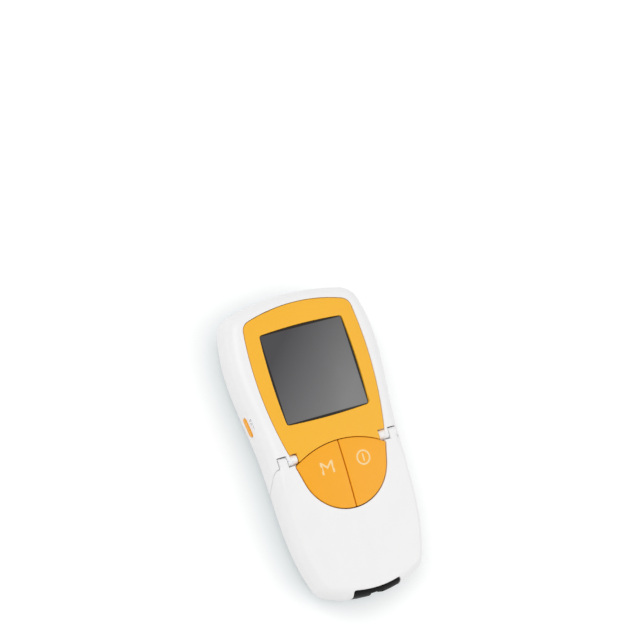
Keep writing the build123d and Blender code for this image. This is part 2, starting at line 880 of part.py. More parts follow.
# ---------------------------------------------------------------- measuring chamber
with BuildPart() as heater_plate:
    with BuildSketch(Plane.XY.offset(deck_z - heater_thickness)):
        with Locations((0, optics_y)):
            Rectangle(heater_width, heater_length)
            Circle(glass_radius + slide_gap, mode=Mode.SUBTRACT)
    extrude(amount=heater_thickness)

with BuildPart() as measuring_window:
    with BuildSketch(Plane.XY.offset(glass_z)):
        with Locations((0, optics_y)):
            Circle(glass_radius)
    extrude(amount=glass_thickness)

block_low_z = under_deck_z - optics_height
lamp_z = under_deck_z - lamp_drop
led_face_x = light_path_radius + slide_gap
led_end_x = led_face_x + led_length

with BuildPart() as optics_block:
    with BuildSketch(Plane.XY.offset(block_low_z)):
        with Locations((0, optics_y)):
            Rectangle(optics_width, optics_length)
            Circle(light_path_radius, mode=Mode.SUBTRACT)
    extrude(amount=optics_height)
    with BuildSketch(Plane.YZ):
        with Locations((optics_y, lamp_z)):
            Circle(led_radius + thread_gap)
    extrude(amount=optics_width / 2, mode=Mode.SUBTRACT)
    with BuildSketch(Plane.YZ.offset(led_end_x)):
        with Locations((optics_y, lamp_z)):
            Circle(led_radius + led_rim + thread_gap)
    extrude(amount=optics_width / 2 - led_end_x, mode=Mode.SUBTRACT)

with BuildPart() as light_source:
    with BuildSketch(Plane.YZ.offset(led_face_x)):
        with Locations((optics_y, lamp_z)):
            Circle(led_radius)
    extrude(amount=led_length)
    fillet(light_source.edges().sort_by(Axis.X)[0], led_radius - led_rim)
    with BuildSketch(Plane.YZ.offset(led_end_x)):
        with Locations((optics_y, lamp_z)):
            Circle(led_radius + led_rim)
    extrude(amount=led_flange)

with BuildPart() as light_sensor:
    with Locations((0, optics_y, block_low_z)):
        Box(
            sensor_size,
            sensor_size,
            sensor_height,
            align=(Align.CENTER, Align.CENTER, Align.MIN),
        )

with BuildPart() as optics_board:
    with BuildSketch(Plane.XY.offset(block_low_z - optics_board_thickness)):
        with Locations((0, optics_y)):
            Rectangle(
                optics_width + 2 * optics_board_margin, optics_length + 2 * optics_board_margin
            )
        with Locations(*deck_screws):
            Circle(hull_boss_radius + skirt_gap, mode=Mode.SUBTRACT)
    extrude(amount=optics_board_thickness)

ribbon_low_z = block_low_z + ribbon_thickness / 2
ribbon_end_y = optics_y + optics_length / 2 + ribbon_end_margin

with BuildPart() as ribbon_cable:
    with BuildSketch(Plane.YZ):
        with BuildLine():
            FilletPolyline(
                (ribbon_y, board_z),
                (ribbon_y, ribbon_low_z),
                (ribbon_end_y, ribbon_low_z),
                radius=ribbon_bend,
            )
        trace(line_width=ribbon_thickness)
    extrude(amount=ribbon_width / 2, both=True)

with BuildPart() as code_reader:
    with Locations((0, reader_y, under_deck_z)):
        Box(
            reader_width,
            reader_length,
            reader_height,
            align=(Align.CENTER, Align.CENTER, Align.MAX),
        )

with BuildPart() as flap_switch:
    with Locations((switch_x, switch_y, under_deck_z)):
        Box(
            switch_width,
            switch_length,
            switch_height,
            align=(Align.CENTER, Align.CENTER, Align.MAX),
        )
        Cylinder(
            switch_key_radius,
            deck_thickness + switch_key_rise,
            align=(Align.CENTER, Align.CENTER, Align.MIN),
        )

# ---------------------------------------------------------------- strip guide
with BuildPart() as strip_guide:
    with BuildSketch(Plane.XY.offset(split_z + guide_foot_gap)):
        add(foot_band(guide_setback + guide_skin, guide_half_width))
    extrude(amount=above_z - split_z)
    with BuildSketch(Plane.XY.offset(deck_z - guide_drop + slide_gap)):
        add(foot_band(notch_inset - notch_side_gap, guide_half_width))
    extrude(amount=above_z - deck_z)
    with BuildSketch(Plane.XY.offset(deck_z - guide_drop + slide_gap)):
        with Locations((0, guide_head_y - length / 2)):
            Rectangle(2 * guide_half_width, length)
    extrude(amount=guide_head_top_z - (deck_z - guide_drop + slide_gap))
    add(upper_form(guide_setback), mode=Mode.INTERSECT)
    tongue_length = guide_tongue_y - guide_head_y
    with BuildSketch(Plane.XY.offset(tongue_z)):
        with Locations((0, guide_head_y + tongue_length / 2)):
            Rectangle(2 * guide_tongue_half_width, tongue_length)
    extrude(amount=guide_tongue_thickness)
    with BuildSketch(Plane.XY.offset(tongue_z + strip_floor)):
        with Locations((0, optics_y + strip_reach - length / 2)):
            Rectangle(strip_width, length)
    extrude(amount=strip_thickness, mode=Mode.SUBTRACT)
    with BuildSketch(Plane.XY.offset(split_z)):
        with Locations((0, optics_y)):
            Circle(strip_window_radius)
    extrude(amount=height, mode=Mode.SUBTRACT)
    with BuildSketch(Plane.XY.offset(split_z)):
        with Locations((0, guide_setback - half_length - foot_bow)):
            Rectangle(2 * guide_recess_half_width, 2 * guide_recess_depth)
    extrude(amount=height, mode=Mode.SUBTRACT)

# ---------------------------------------------------------------- flap
with BuildPart() as flap_webs:
    web_z = (hinge_z - knuckle_radius, hinge_z + knuckle_radius)
    add(side_blocks(knuckle_inner_x, knuckle_outer_x, (web_low_y, hinge_y), web_z))
    add(upper_outer, mode=Mode.INTERSECT)

with BuildPart() as switch_rib:
    rib_z = deck_z + switch_key_rise + seam_gap
    with BuildSketch(Plane.XY.offset(rib_z)):
        with Locations((switch_x, switch_y)):
            Circle(switch_key_radius + switch_rib_wall)
    extrude(amount=height - rib_z)
    add(upper_form(wall / 2), mode=Mode.INTERSECT)

with BuildPart() as flap:
    add(upper_outer)
    add(upper_inner, mode=Mode.SUBTRACT)
    with BuildSketch(Plane.YZ):
        add(seam_side(seam_gap, barrel=False))
    extrude(amount=head_width, both=True, mode=Mode.INTERSECT)
    with BuildSketch(Plane.XY.offset(split_z)):
        Rectangle(2 * head_width, 2 * length)
    extrude(amount=seam_gap, mode=Mode.SUBTRACT)
    with BuildSketch(Plane.XY.offset(split_z)):
        add(shield_outline(flap_gap))
        add(foot_band(notch_inset, guide_half_width + notch_side_gap))
    extrude(amount=height, mode=Mode.SUBTRACT)
    add(flap_webs.part)
    add(hinge_bar(knuckle_inner_x, knuckle_outer_x, knuckle_radius))
    add(switch_rib.part)
    running_bore = hinge_bar(knuckle_inner_x, pin_outer_x + pin_end_gap, pin_radius + pin_clearance)
    add(running_bore, mode=Mode.SUBTRACT)

with BuildPart() as hinge_pins:
    add(hinge_bar(pin_inner_x, pin_outer_x, pin_radius))

gasket_z = tongue_top_z + seam_gap

with BuildPart() as flap_gasket:
    with BuildSketch(Plane.XY.offset(gasket_z)):
        with Locations((0, (gasket_low_y + gasket_high_y) / 2)):
            Rectangle(gasket_width, gasket_high_y - gasket_low_y)
            Rectangle(
                gasket_width - 2 * gasket_thickness,
                gasket_high_y - gasket_low_y - 2 * gasket_thickness,
                mode=Mode.SUBTRACT,
            )
    extrude(amount=height - gasket_z)
    add(upper_inner, mode=Mode.INTERSECT)

with BuildPart() as strip_presser:
    with BuildSketch(Plane.XY.offset(gasket_z)):
        with Locations((0, optics_y)):
            RectangleRounded(presser_width, presser_length, presser_corner)
    extrude(amount=height - gasket_z)
    add(upper_inner, mode=Mode.INTERSECT)

# ---------------------------------------------------------------- rear housing
cover_box_y = cover_low_y - slide_gap

with BuildPart() as rear_housing:
    add(hull_outer)
    add(hull_inner, mode=Mode.SUBTRACT)
    with BuildPart(mode=Mode.PRIVATE) as inner_floor:
        add(hull_inner)
        with BuildSketch(Plane.XY.offset(wall)):
            with Locations((0, cover_low_y - cover_tongue + length / 2)):
                Rectangle(2 * head_width, length)
        extrude(amount=floor_z + floor_thickness - wall, mode=Mode.INTERSECT)
    add(inner_floor.part)
    with BuildSketch():
        with Locations(*screw_places):
            Circle(hull_boss_radius)
    extrude(amount=split_z)
    add(hull_outer, mode=Mode.INTERSECT)
    with BuildSketch(Plane.XY.offset(floor_z)):
        with Locations((0, bay_mid_y)):
            Rectangle(bay_width + 2 * bay_wall, bay_length + 2 * bay_wall)
    extrude(amount=roof_z - floor_z)
    with BuildSketch(Plane.XY.offset(roof_z)):
        standoff_pitch_x = bay_width - 2 * standoff_side_inset
        standoff_pitch_y = bay_length - 2 * standoff_end_inset
        with Locations((0, bay_mid_y)):
            with GridLocations(standoff_pitch_x, standoff_pitch_y, 2, 2):
                Circle(standoff_radius)
    extrude(amount=board_z - roof_z)
    with BuildSketch():
        with Locations((0, bay_mid_y)):
            Rectangle(bay_width, bay_length)
    extrude(amount=bay_top_z, mode=Mode.SUBTRACT)
    with BuildSketch():
        with Locations((0, cover_box_y + length / 2)):
            Rectangle(2 * (cover_half_width + slide_gap), length)
    extrude(amount=floor_z, mode=Mode.SUBTRACT)
    with BuildSketch(Plane.XY.offset(cover_lip)):
        with Locations((0, cover_box_y + length / 2)):
            Rectangle(2 * (cover_half_width + cover_tongue + slide_gap), length)
    extrude(amount=floor_z - cover_lip, mode=Mode.SUBTRACT)
    with BuildPart(mode=Mode.PRIVATE) as end_room:
        add(hull_outer)
        add(hull_inner, mode=Mode.SUBTRACT)
        with BuildSketch():
            with Locations((0, bay_high_y + length / 2)):
                Rectangle(2 * (cover_half_width + slide_gap), length)
        extrude(amount=cover_end_z + slide_gap, mode=Mode.INTERSECT)
    add(end_room.part, mode=Mode.SUBTRACT)
    with BuildSketch():
        with Locations(*screw_places):
            Circle(screw_head_radius + screw_bore_gap)
    extrude(amount=screw_sink + screw_head_height, mode=Mode.SUBTRACT)
    with BuildSketch():
        with Locations(*screw_places):
            Circle(screw_radius + screw_bore_gap)
    extrude(amount=split_z, mode=Mode.SUBTRACT)
    with BuildSketch():
        with Locations((0, buzzer_y)):
            with PolarLocations(sound_hole_circle, sound_hole_count):
                Circle(sound_hole_radius)
    extrude(amount=wall, mode=Mode.SUBTRACT)
    with BuildSketch():
        with Locations((0, label_y)):
            RectangleRounded(label_width + 2 * slide_gap, label_length + 2 * slide_gap, wall)
    extrude(amount=label_recess, mode=Mode.SUBTRACT)

# ---------------------------------------------------------------- battery cover
with BuildPart() as battery_cover:
    add(hull_outer)
    add(hull_form(cover_thickness), mode=Mode.SUBTRACT)
    with BuildPart(mode=Mode.PRIVATE) as cover_block:
        with BuildSketch():
            with Locations((0, cover_low_y + length / 2)):
                Rectangle(2 * cover_half_width, length)
        extrude(amount=cover_end_z)
        with BuildSketch(Plane.XY.offset(cover_lip + slide_gap)):
            with Locations((0, cover_low_y + length / 2)):
                Rectangle(2 * (cover_half_width + cover_tongue), length)
        extrude(amount=cover_thickness - cover_lip - slide_gap)
    add(cover_block.part, mode=Mode.INTERSECT)
    with BuildSketch():
        with Locations((0, cover_low_y + cover_ribs * cover_rib_pitch)):
            with GridLocations(1, cover_rib_pitch, 1, cover_ribs):
                SlotOverall(cover_rib_width, cover_rib_length)
    extrude(amount=cover_rib_depth, mode=Mode.SUBTRACT)

# ---------------------------------------------------------------- battery cells and contacts
cell_columns = [(number - (cell_count - 1) / 2) * cell_pitch for number in range(cell_count)]


def bay_place(number, offset_y):
    """Y of a point offset_y from the spring end of the bay; odd cells lie the other way round."""
    return bay_low_y + offset_y if number % 2 == 0 else bay_high_y - offset_y


cell_start = plate_thickness + spring_length

with BuildPart() as battery_cells:
    for number, x in enumerate(cell_columns):
        body_y = bay_place(number, cell_start + cell_length / 2)
        nub_y = bay_place(number, cell_start + cell_length + cell_nub_length / 2)
        with Locations(Location((x, body_y, cell_z), (90, 0, 0))):
            Cylinder(cell_diameter / 2, cell_length)
        with Locations(Location((x, nub_y, cell_z), (90, 0, 0))):
            Cylinder(cell_nub_radius, cell_nub_length)

with BuildPart() as battery_plates:
    for number, x in enumerate(cell_columns):
        for offset_y in (plate_thickness / 2, bay_length - plate_thickness / 2):
            with Locations((x, bay_place(number, offset_y), cell_z)):
                Box(plate_size, plate_thickness, plate_size)

coil_height = spring_length - 2 * spring_wire - seat_gap

with BuildPart() as battery_springs:
    for number, x in enumerate(cell_columns):
        start_y = bay_place(number, plate_thickness + spring_wire + seat_gap / 2)
        way = 1 if number % 2 == 0 else -1
        with BuildLine() as coil:
            Helix(
                pitch=coil_height / spring_turns,
                height=coil_height,
                radius=spring_radius,
                center=(x, start_y, cell_z),
                direction=(0, way, 0),
            )
        with BuildSketch(Plane(origin=coil.line @ 0, z_dir=coil.line % 0)):
            Circle(spring_wire)
        sweep(path=coil.line)

# ---------------------------------------------------------------- set key and its switch
with BuildPart() as set_button:
    with BuildSketch(Plane.YZ.offset(-set_flange_x)):
        with Locations((set_y, set_z)):
            SlotOverall(set_length, set_height)
    extrude(amount=-head_width / 2)
    add(body_column(-set_proud, 0, height), mode=Mode.INTERSECT)
    with BuildPart(mode=Mode.PRIVATE) as set_flange_block:
        with BuildSketch(Plane.YZ.offset(-set_flange_x)):
            with Locations((set_y, set_z)):
                SlotOverall(set_length + 2 * set_flange, set_height + 2 * set_flange)
        extrude(amount=-head_width / 2)
        add(body_column(wall + seat_gap, 0, height), mode=Mode.INTERSECT)
    add(set_flange_block.part)

with BuildPart() as set_switch:
    with Locations((-board_tab_x, set_y, board_z)):
        Box(
            set_switch_depth,
            set_switch_width,
            set_switch_height,
            align=(Align.MIN, Align.CENTER, Align.MAX),
        )
    with BuildSketch(Plane.YZ.offset(-board_tab_x)):
        with Locations((set_y, set_z)):
            Circle(set_plunger_radius)
    extrude(amount=-set_plunger_length)

# ---------------------------------------------------------------- data window and transceiver
with BuildPart() as infrared_window:
    with BuildSketch(Plane.XY.offset(infrared_z - infrared_height / 2 + infrared_gap)):
        with Locations((0, half_length)):
            Rectangle(infrared_width - 2 * infrared_gap, 4 * wall)
    extrude(amount=infrared_height - 2 * infrared_gap)
    add(body_column(infrared_gap, 0, height), mode=Mode.INTERSECT)
    add(body_column(wall, 0, height), mode=Mode.SUBTRACT)

transceiver_y = board_top_y - transceiver_length / 2

with BuildPart() as infrared_transceiver:
    with Locations((0, transceiver_y, board_z)):
        Box(
            transceiver_width,
            transceiver_length,
            transceiver_height,
            align=(Align.CENTER, Align.CENTER, Align.MAX),
        )
    with BuildSketch(Plane.XZ.offset(-board_top_y)):
        with Locations((0, board_z - transceiver_height / 2)):
            with GridLocations(transceiver_lens_pitch, 1, 2, 1):
                Circle(transceiver_lens_radius)
    extrude(amount=-transceiver_lens_radius)
    tips = infrared_transceiver.edges().filter_by(GeomType.CIRCLE).group_by(Axis.Y)[-1]
    fillet(tips, transceiver_lens_radius - transceiver_lens_rim)

# ---------------------------------------------------------------- sounder, label and screws
with BuildPart() as buzzer:
    with BuildSketch(Plane.XY.offset(wall)):
        with Locations((0, buzzer_y)):
            Circle(buzzer_radius)
    extrude(amount=buzzer_height)
    with BuildSketch(Plane.XY.offset(wall + buzzer_height)):
        with Locations((0, buzzer_y)):
            Circle(buzzer_hole_radius)
    extrude(amount=-buzzer_hole_depth, mode=Mode.SUBTRACT)

with BuildPart() as rating_plate:
    with BuildSketch(Plane.XY.offset(label_recess - label_thickness)):
        with Locations((0, label_y)):
            RectangleRounded(label_width, label_length, wall)
    extrude(amount=label_thickness)

with BuildPart() as housing_screws:
    with BuildSketch(Plane.XY.offset(screw_sink)):
        with Locations(*screw_places):
            Circle(screw_head_radius)
    extrude(amount=screw_head_height)
    with BuildSketch(Plane.XY.offset(screw_sink + screw_head_height)):
        with Locations(*screw_places):
            Circle(screw_radius)
    extrude(amount=screw_length)
    with BuildSketch(Plane.XY.offset(screw_sink)):
        with Locations(*screw_places):
            Rectangle(screw_cross_length, screw_cross_width)
            Rectangle(screw_cross_width, screw_cross_length)
    extrude(amount=screw_cross_depth, mode=Mode.SUBTRACT)

# ---------------------------------------------------------------- export
pieces = {
    "front_housing": front_housing,
    "bezel": bezel,
    "display_lens": display_lens,
    "memory_button": memory_button,
    "power_button": power_button,
    "keypad_mat": keypad_mat,
    "key_domes": key_domes,
    "main_board": main_board,
    "board_chips": board_chips,
    "lcd_panel": lcd_panel,
    "lcd_connectors": lcd_connectors,
    "lcd_holder": lcd_holder,
    "chamber_deck": chamber_deck,
    "heater_plate": heater_plate,
    "measuring_window": measuring_window,
    "optics_block": optics_block,
    "light_source": light_source,
    "light_sensor": light_sensor,
    "optics_board": optics_board,
    "ribbon_cable": ribbon_cable,
    "code_reader": code_reader,
    "flap_switch": flap_switch,
    "strip_guide": strip_guide,
    "flap": flap,
    "hinge_pins": hinge_pins,
    "flap_gasket": flap_gasket,
    "strip_presser": strip_presser,
    "rear_housing": rear_housing,
    "battery_cover": battery_cover,
    "battery_cells": battery_cells,
    "battery_plates": battery_plates,
    "battery_springs": battery_springs,
    "set_button": set_button,
    "set_switch": set_switch,
    "infrared_window": infrared_window,
    "infrared_transceiver": infrared_transceiver,
    "buzzer": buzzer,
    "rating_plate": rating_plate,
    "housing_screws": housing_screws,
}

os.makedirs("parts", exist_ok=True)
for piece_name, piece in pieces.items():
    piece.part.label = piece_name
    export_step(piece.part, f"parts/{piece_name}.step")
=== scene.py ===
"""Looks of a hand-held blood glucose meter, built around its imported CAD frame.

The meter lies on its back: X across, Y towards the display end, Z out of the front face, in metres.
"""

import json
import logging
import math
from abc import ABC, abstractmethod
from dataclasses import dataclass, field
from enum import Enum

import bpy
from mathutils import Matrix, Vector

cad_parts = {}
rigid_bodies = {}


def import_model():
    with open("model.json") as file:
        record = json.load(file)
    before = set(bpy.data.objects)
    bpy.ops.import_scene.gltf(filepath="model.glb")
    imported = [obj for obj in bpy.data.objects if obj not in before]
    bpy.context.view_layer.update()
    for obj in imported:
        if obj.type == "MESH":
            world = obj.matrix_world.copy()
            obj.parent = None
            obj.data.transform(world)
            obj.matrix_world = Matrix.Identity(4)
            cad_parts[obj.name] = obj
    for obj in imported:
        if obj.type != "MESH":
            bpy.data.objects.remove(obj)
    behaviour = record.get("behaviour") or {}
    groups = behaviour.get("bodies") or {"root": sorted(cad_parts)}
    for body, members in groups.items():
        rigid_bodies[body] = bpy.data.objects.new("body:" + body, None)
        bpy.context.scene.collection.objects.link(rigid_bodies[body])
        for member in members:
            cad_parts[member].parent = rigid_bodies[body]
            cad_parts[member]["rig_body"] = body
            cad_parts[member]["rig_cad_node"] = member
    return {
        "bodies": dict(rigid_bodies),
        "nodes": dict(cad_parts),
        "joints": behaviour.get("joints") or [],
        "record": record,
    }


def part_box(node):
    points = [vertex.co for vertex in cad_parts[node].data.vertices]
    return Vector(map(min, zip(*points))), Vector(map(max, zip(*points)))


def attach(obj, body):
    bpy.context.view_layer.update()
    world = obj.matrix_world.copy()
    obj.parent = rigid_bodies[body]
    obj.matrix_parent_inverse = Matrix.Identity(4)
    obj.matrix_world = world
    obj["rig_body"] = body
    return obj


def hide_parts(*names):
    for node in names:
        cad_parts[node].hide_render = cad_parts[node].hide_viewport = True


MM = 0.001

# The curve from a screen colour to a linear one.
SCREEN_FULL = 255
SCREEN_KNEE = 0.04045
SCREEN_SLOPE = 12.92
SCREEN_OFFSET = 0.055
SCREEN_POWER = 2.4

# How a CAD node's copy is merged, has its edges broken, and is smoothed.
WELD_DISTANCE = 2e-6
FLAT_ANGLE = math.radians(0.05)
KEY_FLAT_ANGLE = math.radians(0.4)
BREAK_ANGLE = math.radians(32)
BREAK_SEGMENTS = 2
SMOOTH_ANGLE = math.radians(28)
NORMAL_WEIGHT = 70

# Where the flap's two lengthwise folds lie, and how sharp a fold has to be to count.
CREASE_ANGLE = math.radians(2.5)
CREASE_INNER = 16 * MM
CREASE_OUTER = 26 * MM
CREASE_LOW = 22 * MM
CREASE_END = -24 * MM
CREASE_SLOPE = 2

# Lettering and flat marks.
LETTER_STEPS = 6
RING_SIDES = 64
BAR_SIDES = 24
ON_MIDLINE = 1e-9

log = logging.getLogger("meter")

Colour = tuple[float, float, float]
Point = tuple[float, float, float]
Size = tuple[float, float]
Socket = bpy.types.NodeSocket
Source = Socket | Colour | float

WHITE: Colour = (1.0, 1.0, 1.0)


def srgb(red: float, green: float, blue: float) -> Colour:
    """Turns a screen colour of 0 to 255 into the linear colour that shaders take.

    Args:
        red: Red part.
        green: Green part.
        blue: Blue part.

    Returns:
        The linear colour.
    """
    parts = []
    for part in (red, green, blue):
        share = part / SCREEN_FULL
        if share <= SCREEN_KNEE:
            parts.append(share / SCREEN_SLOPE)
        else:
            parts.append(((share + SCREEN_OFFSET) / (1 + SCREEN_OFFSET)) ** SCREEN_POWER)
    return (parts[0], parts[1], parts[2])


# ---------------------------------------------------------------- finishes
class Operation(Enum):
    """What a math node works out of its numbers."""

    SUM = "ADD"
    DIFFERENCE = "SUBTRACT"
    PRODUCT = "MULTIPLY"
    LARGER = "MAXIMUM"
    SIZE = "ABSOLUTE"
    PAST = "GREATER_THAN"


class NodeBench:
    """A new material's node tree, with the wiring that the finishes share."""

    NOISE_LOW = 0.3
    NOISE_HIGH = 0.7

    def __init__(self, name: str) -> None:
        """Starts a material that holds a principled shader and an output.

        Args:
            name: The material's name.
        """
        self.material = bpy.data.materials.new(name)
        self.material.use_nodes = True
        self.tree = self.material.node_tree
        self.shader = self.tree.nodes["Principled BSDF"]
        self.coordinates = self.tree.nodes.new("ShaderNodeTexCoord")

    def feed(self, socket: Socket, source: Source) -> None:
        """Gives an input another node's output, a colour or a number.

        Args:
            socket: The input.
            source: What it takes.
        """
        if isinstance(source, bpy.types.NodeSocket):
            self.tree.links.new(source, socket)
        elif socket.type == "RGBA":
            socket.default_value = (*source, 1.0)
        else:
            socket.default_value = source

    def give(self, name: str, source: Source) -> None:
        """Gives one of the shader's own sockets a pattern, a colour or a number."""
        self.feed(self.shader.inputs[name], source)

    def node(self, kind: str, sources: dict[str, Source], **settings: str) -> bpy.types.Node:
        """Adds a node.

        Args:
            kind: Blender's name for it.
            sources: What its inputs take.
            settings: Its named options, which are set before its inputs.

        Returns:
            The node.
        """
        node = self.tree.nodes.new(kind)
        for option, choice in settings.items():
            setattr(node, option, choice)
        for name, source in sources.items():
            self.feed(node.inputs[name], source)
        return node

    def work_out(self, operation: Operation, *parts: Source, clamp: bool = False) -> Socket:
        """Works a number out of one or two others.

        Args:
            operation: What is worked out.
            parts: The numbers, or the sockets that give them.
            clamp: Keeps the result between zero and one.

        Returns:
            The result's socket.
        """
        node = self.node("ShaderNodeMath", {}, operation=operation.value)
        node.use_clamp = clamp
        for socket, part in zip(node.inputs, parts):
            self.feed(socket, part)
        return node.outputs["Value"]

    def place(self, scale: Point, shift: Point = (0, 0, 0)) -> Socket:
        """Object coordinates, scaled and shifted.

        Args:
            scale: Scale along each axis.
            shift: Shift, in the scaled coordinates.

        Returns:
            The mapped vector's socket.
        """
        start = self.coordinates.outputs["Object"]
        sources = {"Vector": start, "Scale": scale, "Location": shift}
        return self.node("ShaderNodeMapping", sources).outputs["Vector"]

    def split(self, vector: Socket) -> tuple[Socket, Socket]:
        """The parts of a vector along X and Y."""
        outputs = self.node("ShaderNodeSeparateXYZ", {"Vector": vector}).outputs
        return outputs["X"], outputs["Y"]

    def noise(self, grain: float, detail: float = 3.0, stretch: Point = (1, 1, 1)) -> Socket:
        """A noise pattern whose cells are about one grain wide.

        Args:
            grain: Width of a cell in metres.
            detail: Octaves of finer noise.
            stretch: How much longer a cell is along each axis.

        Returns:
            The noise's factor socket.
        """
        cells = self.place(tuple(1 / (grain * part) for part in stretch))
        sources = {"Vector": cells, "Scale": 1.0, "Detail": detail}
        return self.node("ShaderNodeTexNoise", sources).outputs["Fac"]

    def ramp(
        self, factor: Socket, start: float, end: float, low: float = 0.0, high: float = 1.0
    ) -> Socket:
        """Runs from low to high while a pattern runs from start to end.

        Args:
            factor: The pattern.
            start: The pattern's value where the result is low.
            end: The pattern's value where the result is high.
            low: Lowest result.
            high: Highest result.

        Returns:
            The result's socket.
        """
        sources = {
            "Value": factor,
            "From Min": start,
            "From Max": end,
            "To Min": low,
            "To Max": high,
        }
        return self.node("ShaderNodeMapRange", sources).outputs["Result"]

    def roughen(self, noise: Socket, low: float, high: float) -> None:
        """Varies the roughness from low to high over a noise pattern's middle range."""
        self.give("Roughness", self.ramp(noise, self.NOISE_LOW, self.NOISE_HIGH, low, high))

    def blend(self, factor: Socket, first: Source, second: Source) -> Socket:
        """Mixes two colours or patterns, the second of which shows where the factor is one."""
        sources = {"Factor": factor, "A": first, "B": second}
        return self.node("ShaderNodeMix", sources, data_type="RGBA").outputs["Result"]

    def bump(self, height: Socket, depth: float) -> None:
        """Presses a pattern into the surface, its full range to a depth in metres."""
        pressed = self.node("ShaderNodeBump", {"Height": height, "Distance": depth})
        self.give("Normal", pressed.outputs["Normal"])

    def tint(self, factor: Socket, colour: Colour, spread: float) -> None:
        """Varies the base colour a little either side of its own value.

        Args:
            factor: The pattern that it varies with.
            colour: The base colour.
            spread: Share of the colour that it varies by.
        """
        low = tuple(part * (1 - spread) for part in colour)
        high = tuple(min(1.0, part * (1 + spread)) for part in colour)
        self.give("Base Color", self.blend(factor, low, high))


@dataclass(frozen=True)
class Finish(ABC):
    """A named finish. Each kind of it wires its own surface."""

    name: str

    def material(self) -> bpy.types.Material:
        """Makes the finish as a new material.

        Returns:
            The material.
        """
        bench = NodeBench(self.name)
        self.wire(bench)
        return bench.material

    @abstractmethod
    def wire(self, bench: NodeBench) -> None:
        """Wires the surface on the new material's bench."""


@dataclass(frozen=True)
class MouldedPlastic(Finish):
    """Injection-moulded plastic with a fine eroded grain and faint flow marks."""

    colour: Colour
    roughness: float = 0.4
    uneven: float = 0.03
    grain: float = 0.28 * MM
    grain_depth: float = 0.004 * MM
    flow: float = 14 * MM
    octaves: float = 2.0
    spread: float = 0.02
    coat: float = 0.0
    coat_roughness: float = 0.25
    shine: float = 0.5

    def wire(self, bench: NodeBench) -> None:
        """Wires the surface.

        Args:
            bench: The new material's bench.
        """
        flow = bench.noise(self.flow, self.octaves)
        bench.tint(flow, self.colour, self.spread)
        bench.roughen(flow, self.roughness - self.uneven, self.roughness + self.uneven)
        bench.bump(bench.noise(self.grain, self.octaves), self.grain_depth)
        bench.give("Specular IOR Level", self.shine)
        bench.give("Coat Weight", self.coat)
        bench.give("Coat Roughness", self.coat_roughness)


@dataclass(frozen=True)
class SmokedWindow(Finish):
    """Glossy grey display window, with a painted reflection that lightens it from one corner to the
    other and painted shade along its rim.
    """

    name: str = "smoked_window"
    dark: Colour = srgb(74, 73, 76)
    light: Colour = srgb(127, 127, 128)
    rim_shade: Colour = srgb(38, 34, 30)
    reach: float = 30 * MM
    half_size: float = 23.25 * MM
    rim_shade_width: float = 0.3 * MM
    middle_y: float = 35.8 * MM
    middle_tone: float = 0.5
    haze: float = 9 * MM
    clearest: float = 0.1
    haziest: float = 0.16
    shine: float = 0.35

    def wire(self, bench: NodeBench) -> None:
        """Wires the surface.

        Args:
            bench: The new material's bench.
        """
        side = 1 / (2 * self.reach)
        share = self.middle_tone / 2
        shift = (share, share + self.middle_y * side, 0)
        across, along = bench.split(bench.place((side, -side, 1), shift))
        # Painted reflection: the base colour runs from dark at one corner of the window to light at
        # the other.
        lift = bench.work_out(Operation.SUM, across, along, clamp=True)
        painted_reflection = bench.blend(lift, self.dark, self.light)
        # The rim line darkens the colour as painted shade along the window's sides.
        bench.give("Base Color", bench.blend(self.edge(bench), painted_reflection, self.rim_shade))
        bench.roughen(bench.noise(self.haze), self.clearest, self.haziest)
        bench.give("Specular IOR Level", self.shine)

    def edge(self, bench: NodeBench) -> Socket:
        """A soft dark line of painted shade along the window's four sides.

        Args:
            bench: The new material's bench.

        Returns:
            A socket that is one on the line and zero inside it.
        """
        size = 1 / self.half_size
        placed = bench.place((size, size, 1), (0, -self.middle_y / self.half_size, 0))
        across, along = (bench.work_out(Operation.SIZE, part) for part in bench.split(placed))
        furthest = bench.work_out(Operation.LARGER, across, along)
        line = self.rim_shade_width / self.half_size
        return bench.ramp(furthest, 1 - 2 * line, 1 - line)


@dataclass(frozen=True)
class ClearGlass(Finish):
    """Clear glass or clear resin."""

    colour: Colour
    roughness: float = 0.05
    haze: float = 3 * MM
    haziest: float = 1.6
    transmission: float = 1.0
    bending: float = 1.49

    def wire(self, bench: NodeBench) -> None:
        """Wires the surface.

        Args:
            bench: The new material's bench.
        """
        bench.give("Base Color", self.colour)
        bench.roughen(bench.noise(self.haze), self.roughness, self.roughness * self.haziest)
        bench.give("Transmission Weight", self.transmission)
        bench.give("IOR", self.bending)


@dataclass(frozen=True)
class Metal(Finish):
    """Drawn or brushed metal, with streaks along one axis."""

    colour: Colour
    roughness: float = 0.3
    smoother: float = 0.08
    rougher: float = 0.1
    streak: float = 0.12 * MM
    streak_stretch: Point = (1, 12, 1)
    streak_depth: float = 0.003 * MM
    octaves: float = 2.0
    cloud: float = 5 * MM
    spread: float = 0.06

    def wire(self, bench: NodeBench) -> None:
        """Wires the surface.

        Args:
            bench: The new material's bench.
        """
        streaks = bench.noise(self.streak, self.octaves, self.streak_stretch)
        bench.tint(bench.noise(self.cloud), self.colour, self.spread)
        bench.roughen(streaks, self.roughness - self.smoother, self.roughness + self.rougher)
        bench.bump(streaks, self.streak_depth)
        bench.give("Metallic", 1.0)


